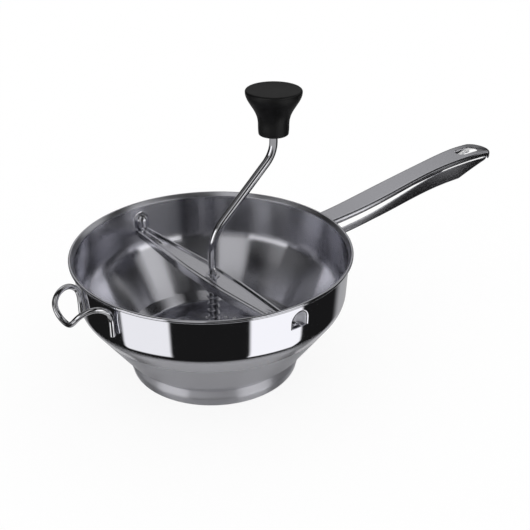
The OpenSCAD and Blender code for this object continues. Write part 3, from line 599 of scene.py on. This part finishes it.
# Screw wing z = foot + rise t^1.25 over a sweep of 190 degrees with its outer radius 52 - 6 max(2.2t -
# 1.2, 0)^2, and a flat tilted arm opposite, both with rounded edges; seen from above the lifted edge
# leads clockwise.
def makeBlade():
    t = np.linspace(0, 1, 97)[:, None]
    section = rounded([[0, 0, 0.3], [46, 0, 0.5], [46, blade["sheet"], 0.5], [0, blade["sheet"], 0.3]], 5, close=True)
    section = resample(np.concatenate([section, section[:1]]), 8.0)[:-1]
    reach = blade["outer"] - 6 * np.maximum(2.2 * t - 1.2, 0) ** 2 - blade["inner"]
    r = blade["inner"] + section[None, :, 0] / 46 * reach
    a = np.radians(blade["sweep"]) * t
    z = blade["foot"] + blade["rise"] * t**1.25 + section[None, :, 1]
    wing = np.stack([r * np.cos(a), -r * np.sin(a), z], axis=-1)
    parts = [grid(turnedBy(wing, crank["turn"]), closeV=True)]
    for end in (0, -1):
        ring = turnedBy(wing[end], crank["turn"])
        parts.append(grid(np.stack([ring, np.repeat(ring.mean(axis=0)[None], len(ring), axis=0)]), closeV=True,
                          flip=end == -1))
    x = np.concatenate([np.linspace(5.0, 46.0, 22), 46.0 + 5.0 * np.sin(np.linspace(0, np.pi / 2, 9)[1:])])
    half = np.sqrt(np.clip(1 - (np.maximum(x - 46, 0) / 5.02) ** 2, 0.001, 1))
    half = 0.35 + 0.65 * half
    plate = rounded([[-5.5, -0.6, 0.4], [5.5, -0.6, 0.4], [5.5, 0.6, 0.4], [-5.5, 0.6, 0.4]], 4, close=True)
    y, z = plate[None, :, 0] * half[:, None], plate[None, :, 1] + 0 * x[:, None]
    tilt, at = math.radians(blade["tilt"]), math.radians(blade["armAt"])
    arm = np.stack([x[:, None] + 0 * y, y * math.cos(tilt) - z * math.sin(tilt),
                    y * math.sin(tilt) + z * math.cos(tilt)], axis=-1)
    arm[..., 2] += blade["foot"] + 5.5 * math.sin(tilt) + 0.6 * math.cos(tilt)
    arm = turnedBy(arm, at) * np.array([1, -1, 1])
    arm = turnedBy(arm, crank["turn"])
    parts.append(grid(arm, closeV=True))
    parts.append(grid(np.stack([arm[-1], np.repeat(arm[-1].mean(axis=0)[None], len(arm[-1]), axis=0)]), closeV=True))
    piece = build("blade_dressed", parts, [bladeSteel], sharp=50)
    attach(piece, "crank_set")
    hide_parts("blade")


makeCrank()
turned("blade_hub_dressed", [[6.0, 6.7, 0.5], [6.0, 20.2, 0.6], [3.02, 20.2, 0.3], [3.02, 6.7, 0.3]], "blade_hub",
       "crank_set", turnedSteel)
makePin()
makeBlade()

# Knob

knob = {"foot": 166.6, "waist": 10.9, "top": 19.8, "high": 30.4, "flare": 6.0, "edge": 1.6, "crown": 1.1}
knobAt = (crank["throw"] * math.cos(crank["turn"]), crank["throw"] * math.sin(crank["turn"]))


# Flared shell r = 10.9 + 8.7 ease((max(h - 6, 0)/23.8)^1.3), a pressed-in cap with a rounded edge and a
# low crown 1.1 (1 - (r/18)^2).
def makeKnob():
    h = np.linspace(0.9, knob["high"], 40)
    r = knob["waist"] + (knob["top"] - knob["waist"]) * ease((np.maximum(h - knob["flare"], 0) / 24.4) ** 1.3)
    r -= 0.4 * (1 - np.clip(h / 6, 0, 1)) ** 2
    foot = knob["foot"]
    lower = rounded([[7.7, foot, 0], [float(r[0]) - 0.05, foot, 0.85], [float(r[0]), foot + 0.9, 0]], 6)
    top = foot + knob["high"]
    body = np.concatenate([lower[:-1], np.stack([r, foot + h], axis=-1),
                           [[19.5, top + 0.02], [8.0, top + 0.02], [8.0, 187.2], [5.08, 187.2], [5.08, 169.3],
                            [7.7, 169.3]]])
    shell = build("knob_shell_dressed", [revolve(body, knobAt, 128)], [knobPlastic], sharp=45)
    s = np.linspace(0, np.pi / 2, 9)
    edge = np.stack([knob["top"] - knob["edge"] * (1 - np.cos(s)), top + 0.12 + (knob["edge"] - 0.12) * np.sin(s)], -1)
    f = np.linspace(1, 0, 14)[1:]
    dome = np.stack([(knob["top"] - knob["edge"]) * f, top + knob["edge"] + knob["crown"] * (1 - f * f)], axis=-1)
    dome[-1, 0] = 0.001
    plug = np.array([[0.001, 192.5], [7.98, 192.5], [7.98, top + 0.12], [19.5, top + 0.12]])
    cap = build("knob_cap_dressed", [revolve(np.concatenate([plug, edge, dome]), knobAt, 128, closeV=False)],
                [knobPlastic], sharp=45, weld=2e-3)
    for piece, node in ((shell, "knob_shell"), (cap, "knob_cap")):
        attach(piece, "knob_set")
        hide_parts(node)


makeKnob()
turned("knob_sleeve_dressed", [[7.4, 168, 0.25], [7.4, 169, 0.25], [5.0, 169, 0.1], [5.0, 187.5, 0.3],
       [3.02, 187.5, 0.2], [3.02, 168, 0.3]], "knob_sleeve", "crank_set", sleeveNylon, knobAt)
turned("knob_ring_dressed", [[7.4, 187.5, 0.2], [7.4, 188.5, 0.2], [3.02, 188.5, 0.15], [3.02, 187.5, 0.15]],
       "knob_ring", "crank_set", springSteel, knobAt)

# Pot hook

hook = {"turn": math.radians(2.9), "radius": 1.9}


# Wire from a leg on the bowl, out under the rim, down in a drooping loop and back, as a smooth curve.
def makeHook():
    near = [[-97.1, -19, 68], [-97.1, -19, 75], [-97.1, -19, 80.9], [-98.4, -20.3, 85.4], [-101.7, -21.2, 89.5],
            [-107.2, -19.7, 92.4], [-113.6, -17, 91.5], [-118.3, -14.2, 87.9], [-119.8, -10.8, 83.3],
            [-119.6, -5.8, 79.2]]
    far = [[-119.2, 0, 77.9], [-119.5, 5.8, 79.3], [-119.8, 10.8, 83.3], [-118.2, 14.4, 87.9], [-113.3, 17.2, 91],
           [-107, 20, 91.6], [-101.2, 21.6, 89.6], [-97.2, 20.9, 85.8], [-97.1, 19, 81.1], [-97.1, 19, 75],
           [-97.1, 19, 68]]
    part = tube(resample(smoothed(near + far), 1.5)[::2], hook["radius"], 28, roundEnd=0.5)
    part["points"] = turnedBy(part["points"], hook["turn"])
    piece = build("pot_hook_dressed", [part], [wireSteel])
    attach(piece, "mill_body")
    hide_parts("pot_hook")


makeHook()

# Handle

handle = {"rootZ": 84.5, "rise": 16.4, "crest": 262.0, "droop": 1.7, "tip": 294.0, "cap": 282.0, "tipHalf": 12.9,
          "corner": 250.5, "sheet": 1.2, "round": 2.6, "hem": 3.0, "slotX": 270.0, "slotLong": 24.5,
          "slotWide": 11.8, "slitEnd": 284.0}
rootX = float(bandRadius(handle["rootZ"])) - 3.0
gripX = rootX + 66.0


# Value that eases from a at x0 to b at x1.
def eased(x, x0, x1, a, b):
    return a + (b - a) * ease((x - x0) / (x1 - x0))


# Half width of the strap: eases 9.6 to 11 at the grip, 10.3 at the waist, 12.9 at the tip.
def handleHalf(x):
    return np.where(x < gripX, eased(x, rootX, gripX, 9.6, 11.0),
                    np.where(x < 212, eased(x, gripX, 212, 11.0, 10.3), eased(x, 212, handle["cap"], 10.3, 12.9)))


# Height of the strap: 84.5 + 16.4 (0.85 ease(t) + 0.15 t) up to the crest, then 1.7 u^2 down to the tip.
def handleTop(x):
    t = (x - rootX) / (handle["crest"] - rootX)
    u = (x - handle["crest"]) / (handle["tip"] - handle["crest"])
    crest = handle["rootZ"] + handle["rise"]
    return np.where(t < 1, handle["rootZ"] + handle["rise"] * (0.85 * ease(t) + 0.15 * t), crest - handle["droop"] * u * u)


# Depth of the strap: straight between 16.5 at the root, 15.8 at x 150, 18 at the corner and 4 at the tip.
def handleDepth(x):
    return np.interp(x, [rootX, 150, handle["corner"], handle["tip"]], [16.5, 15.8, 18.0, 4.0])


# Width of the gap between the flanges: eases from 4.6 to 1.1, and closes over the last 4 mm.
def handleSlit(x):
    return eased(x, gripX - 31.5, 232, 4.9, 1.1) * ease((handle["slitEnd"] - x) / 5)


# Depth of the upper flange: eases from 4.4 at the root to 3.6 from x 180 on.
def handleFlange(x):
    return eased(x, rootX, 180, 4.4, 3.6)


# Points at a distance across from the spine towards the edge and down below the strap's top, with the
# root end moved onto the bowl's wall; UVs are x along the handle and the distance across and down.
def strapGrid(spine, edge, across, down, close, flip, inner):
    gapLine = edge - spine
    reach = np.linalg.norm(gapLine, axis=1)[:, None]
    xy = spine[:, None] + gapLine[:, None] / reach[..., None] * across[..., None]
    x, y = xy[..., 0], xy[..., 1]
    z = handleTop(x) - down
    wallX = np.sqrt((bandRadius(z) + 0.05) ** 2 - y**2)
    x = x + (wallX - rootX) * (1 - ease((x - rootX) / 14))
    part = grid(np.stack([x, y, z], axis=-1), closeV=close, flip=flip)
    flat = np.stack([x, np.sign(edge[:, 1:2]) * (across + down)], axis=-1).reshape(-1, 2)
    part["uvs"] = flat[part["faces"]]
    column = part["faces"].min(axis=1) % across.shape[1]
    # columns from inner[0] up to inner[1] take slot 1, the inside painted near-white as light
    part["slot"] = ((column >= inner[0]) & (column < inner[1])).astype(int)
    return part


# Two pressed strips: the upper one is the top face with a flange of about 4 mm all round, the lower ones
# are the sides with their lower edges turned in; the gap between them narrows towards the tip.
def makeHandle():
    x = np.concatenate([np.linspace(rootX, rootX + 14, 12), np.linspace(rootX + 14, handle["cap"], 84)[1:]])
    fan = np.radians(np.linspace(-90, 90, 61))[1:-1]
    lowSide = np.stack([x, -handleHalf(x)], axis=-1)
    tip = np.stack([handle["cap"] + (handle["tip"] - handle["cap"]) * np.cos(fan) ** 0.9,
                    handle["tipHalf"] * np.sin(fan)], axis=-1)
    edge = np.concatenate([lowSide, tip, lowSide[::-1] * [1, -1]])
    spine = np.stack([np.minimum(edge[:, 0], handle["cap"]), 0 * edge[:, 0]], axis=-1)
    spine[len(x) : len(x) + len(tip), 0] = handle["cap"]
    ex = edge[:, 0:1]
    reach = np.linalg.norm(edge - spine, axis=1)[:, None]
    t, c = handle["sheet"], handle["round"]
    full = np.minimum(handleDepth(ex) - 0.2, handleFlange(ex) + 8)
    flange = handleFlange(ex) + (full - handleFlange(ex)) * ease((ex - 282.5) / 3.5)
    s = np.linspace(0, np.pi / 2, 9)[None]
    w = np.linspace(0, np.pi, 9)[None]
    flat = np.linspace(0, 1, 11)[None, :-1]
    across = np.concatenate([flat * (reach - c), reach - c + c * np.sin(s), reach - t / 2 + t / 2 * np.cos(w),
                             reach - c + (c - t) * np.sin(s[:, ::-1]), (reach - c) * flat[:, ::-1]], axis=1)
    down = np.concatenate([0 * reach + 0 * flat, c * (1 - np.cos(s)) + 0 * reach, flange - 0.4 + 0.4 * np.sin(w),
                           c - (c - t) * np.cos(s[:, ::-1]) + 0 * reach, t + 0 * reach + 0 * flat], axis=1)
    n = across.shape[1]
    parts = [strapGrid(spine, edge, across, down, False, False, (n // 2 + 4, n))]
    keep = edge[:, 0] < 287.0
    for side in (-1, 1):
        here = keep & (np.sign(edge[:, 1]) == side)
        e, sp = edge[here], spine[here]
        ex = e[:, 0:1]
        reach = np.linalg.norm(e - sp, axis=1)[:, None] - 1.25 * ease((ex - 281.5) / 2.5)
        upper = handleFlange(ex) + handleSlit(ex) - 1.0 * ease((ex - 281.5) / 2.5)
        deep = handleDepth(ex)
        c = np.minimum(3.0, 0.7 * (deep - upper))
        inner = np.maximum(c - t, 0.2)
        h = reach - handle["hem"]
        across = np.concatenate([reach - t / 2 - t / 2 * np.cos(w), reach - c + c * np.cos(s),
                                 h + 0.6 - 0.6 * np.sin(w), reach - t - inner + inner * np.sin(s)], axis=1)
        down = np.concatenate([upper + 0.4 - 0.4 * np.sin(w), deep - c + c * np.sin(s),
                               deep - t / 2 + t / 2 * np.cos(w), deep - t - inner + inner * np.cos(s)], axis=1)
        parts.append(strapGrid(sp, e, across, down, True, side > 0, (24, 99)))
    # the second finish is the inside of the strips, painted near-white as light
    piece = build("handle_dressed", parts, [handleSteel, paintedLightInside], sharp=50, weld=1e-3)
    cutSlot(piece)
    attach(piece, "mill_body")
    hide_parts("handle")


# Hanging slot through the top face, cut exactly and applied.
def cutSlot(piece):
    half = (handle["slotLong"] - handle["slotWide"]) / 2
    a = np.linspace(-np.pi / 2, np.pi / 2, 25)
    ring = np.stack([half + 5.9 * np.cos(a), 5.9 * np.sin(a)], axis=-1)
    ring = np.concatenate([ring, -ring]) + [handle["slotX"], 0]
    cutPrism(piece, ring, 93.0, 104.0)


# Upright prism over an outline, cut out of a piece exactly and applied.
def cutPrism(piece, ring, z0, z1):
    cutter = bpy.data.meshes.new("cutter")
    n = len(ring)
    verts = np.concatenate([np.column_stack([ring, np.full(n, z0)]), np.column_stack([ring, np.full(n, z1)])]) * mm
    walls = [(i, (i + 1) % n, (i + 1) % n + n, i + n) for i in range(n)]
    cutter.from_pydata(verts.tolist(), [], [tuple(range(n - 1, -1, -1)), tuple(range(n, 2 * n))] + walls)
    tool = bpy.data.objects.new("cutter", cutter)
    bpy.context.scene.collection.objects.link(tool)
    cut = piece.modifiers.new("hole", "BOOLEAN")
    cut.operation, cut.solver, cut.object = "DIFFERENCE", "EXACT", tool
    graph = bpy.context.evaluated_depsgraph_get()
    mesh = bpy.data.meshes.new_from_object(piece.evaluated_get(graph))
    piece.modifiers.clear()
    old, piece.data = piece.data, mesh
    bpy.data.meshes.remove(old)
    bpy.data.objects.remove(tool)
    bpy.data.meshes.remove(cutter)


makeHandle()

# Sieve disc: the CAD node with a better finish

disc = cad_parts["sieve_disc"]
disc.data.materials.clear()
disc.data.materials.append(discSteel)

# Studio and camera

# Panels seen only by reflections: azimuth and half width, softness, lowest and highest elevation, level
panels = [
    {"at": 174, "half": 23, "soft": 4, "low": -42, "high": -28, "level": 1.1},
    {"at": 291, "half": 25, "soft": 4, "low": -48, "high": -31, "level": 1.25},
    {"at": 50, "half": 44, "soft": 16, "low": -50, "high": -10, "level": 0.42},
    {"at": 215, "half": 92, "soft": 20, "low": -27, "high": -8, "level": 0.4},
    {"at": 182, "half": 19, "soft": 4, "low": -8, "high": 24, "level": 1.4},
    {"at": 217, "half": 13, "soft": 4, "low": -8, "high": 24, "level": 0.3},
    {"at": 284, "half": 21, "soft": 4, "low": -4, "high": 26, "level": 1.5},
    {"at": 354, "half": 14, "soft": 8, "low": 12, "high": 40, "level": 0.5},
    {"at": 60, "half": 40, "soft": 14, "low": 16, "high": 40, "level": 0.4},
    {"at": 50, "half": 30, "soft": 14, "low": 40, "high": 60, "level": 0.6},
    {"at": 302, "half": 14, "soft": 5, "low": 26, "high": 60, "level": 0.55},
    {"at": 212, "half": 16, "soft": 5, "low": 26, "high": 60, "level": 0.55},
    {"at": 150, "half": 24, "soft": 8, "low": 26, "high": 60, "level": 0.12},
    {"at": 203, "half": 23, "soft": 5, "low": 60, "high": 88, "level": 0.7},
    {"at": 247, "half": 20, "soft": 5, "low": 60, "high": 88, "level": 0.4},
]


# Camera and diffuse rays see plain white; reflections see 0.012 plus the panels, each its level times a
# smooth step in azimuth and in elevation, plus 0.25 below elevation -58 for the table.
def makeWorld():
    world = bpy.data.worlds.new("studio")
    bpy.context.scene.world = world
    world.use_nodes = True
    world.cycles.sampling_method = "NONE"
    tree = world.node_tree
    tree.nodes.clear()
    way = addNode(tree, "ShaderNodeTexCoord").outputs["Generated"]
    xyz = addNode(tree, "ShaderNodeSeparateXYZ", {0: way})
    azimuth = addNode(tree, "ShaderNodeMath", {0: xyz.outputs[1], 1: xyz.outputs[0]}, operation="ARCTAN2").outputs[0]
    height = addNode(tree, "ShaderNodeMath", {0: xyz.outputs[2]}, operation="ARCSINE").outputs[0]

    def step(value, start, end):
        return addNode(tree, "ShaderNodeMapRange", {0: value, 1: math.radians(start), 2: math.radians(end)},
                       interpolation_type="SMOOTHSTEP").outputs[0]

    def times(a, b):
        return addNode(tree, "ShaderNodeMath", {0: a, 1: b}, operation="MULTIPLY").outputs[0]

    below = step(height, -52, -64)
    total = addNode(tree, "ShaderNodeMath", {0: below, 1: 0.25, 2: 0.012}, operation="MULTIPLY_ADD").outputs[0]
    for p in panels:
        shifted = addNode(tree, "ShaderNodeMath", {0: azimuth, 1: math.radians(p["at"])}, operation="SUBTRACT")
        wrapped = addNode(tree, "ShaderNodeMath", {0: shifted.outputs[0], 1: math.pi, 2: -math.pi}, operation="WRAP")
        away = addNode(tree, "ShaderNodeMath", {0: wrapped.outputs[0]}, operation="ABSOLUTE").outputs[0]
        inside = step(away, p["half"] + p["soft"] / 2, p["half"] - p["soft"] / 2)
        over = step(height, p["low"] - 2, p["low"] + 2)
        under = step(height, p["high"] + 2, p["high"] - 2)
        shape = times(times(inside, over), under)
        total = addNode(tree, "ShaderNodeMath", {0: shape, 1: p["level"], 2: total}, operation="MULTIPLY_ADD").outputs[0]
    seen = addNode(tree, "ShaderNodeLightPath").outputs["Is Glossy Ray"]
    pattern = addNode(tree, "ShaderNodeBackground", {"Strength": total})
    plain = addNode(tree, "ShaderNodeBackground", {"Strength": 1.0})
    pattern.inputs[0].default_value = plain.inputs[0].default_value = linear(studioWhite)
    both = addNode(tree, "ShaderNodeMixShader", {0: seen, 1: plain.outputs[0], 2: pattern.outputs[0]})
    out = addNode(tree, "ShaderNodeOutputWorld")
    tree.links.new(both.outputs[0], out.inputs[0])


# White table: diffuse white, and to the camera 0.88 of plain white so that its shadow stays faint.
# Reflections see 0.3 of it out to 105 mm from the middle, fading by 140 mm, and else the studio's panels.
def makeFloor():
    material, tree, shader = newMaterial("table_white")
    shader.inputs["Base Color"].default_value = linear("#ffffff")
    shader.inputs["Roughness"].default_value = 1.0
    shader.inputs["Specular IOR Level"].default_value = 0.0
    glow = addNode(tree, "ShaderNodeEmission", {"Strength": 1.0})
    clear = addNode(tree, "ShaderNodeBsdfTransparent")
    seen = addNode(tree, "ShaderNodeLightPath")
    half = addNode(tree, "ShaderNodeMath", {0: seen.outputs["Is Camera Ray"], 1: 0.88}, operation="MULTIPLY")
    both = addNode(tree, "ShaderNodeMixShader", {0: half.outputs[0], 1: shader.outputs[0], 2: glow.outputs[0]})
    place = addNode(tree, "ShaderNodeTexCoord").outputs["Object"]
    away = addNode(tree, "ShaderNodeVectorMath", {0: place}, operation="LENGTH").outputs["Value"]
    far = addNode(tree, "ShaderNodeMapRange", {0: away, 1: 0.105, 2: 0.14, 3: 0.7}, interpolation_type="SMOOTHSTEP")
    reflected = addNode(tree, "ShaderNodeMath", {0: far.outputs[0], 1: seen.outputs["Is Glossy Ray"]}, operation="MULTIPLY")
    last = addNode(tree, "ShaderNodeMixShader", {0: reflected.outputs[0], 1: both.outputs[0], 2: clear.outputs[0]})
    out = next(n for n in tree.nodes if n.type == "OUTPUT_MATERIAL")
    tree.links.new(last.outputs[0], out.inputs[0])
    bm = bmesh.new()
    bmesh.ops.create_grid(bm, x_segments=1, y_segments=1, size=3.0)
    mesh = bpy.data.meshes.new("table")
    bm.to_mesh(mesh)
    bm.free()
    mesh.materials.append(material)
    table = bpy.data.objects.new("table", mesh)
    table.location.z = -0.0003
    bpy.context.scene.collection.objects.link(table)


# Camera at the height and distance of a hand-held shot: looks along azimuth 51.5 degrees, 28.06 down.
def makeCamera():
    data = bpy.data.cameras.new("camera")
    data.sensor_width, data.lens = 36.0, 62.23
    camera = bpy.data.objects.new("camera", data)
    camera.location = (-0.3299, -0.4752, 0.3859)
    camera.rotation_euler = (math.radians(90 - 28.06), 0, math.radians(51.5 - 90))
    bpy.context.scene.collection.objects.link(camera)
    bpy.context.scene.camera = camera


makeWorld()
makeFloor()
makeCamera()
print("made studio and camera")
bpy.context.scene.view_settings.view_transform = "Standard"
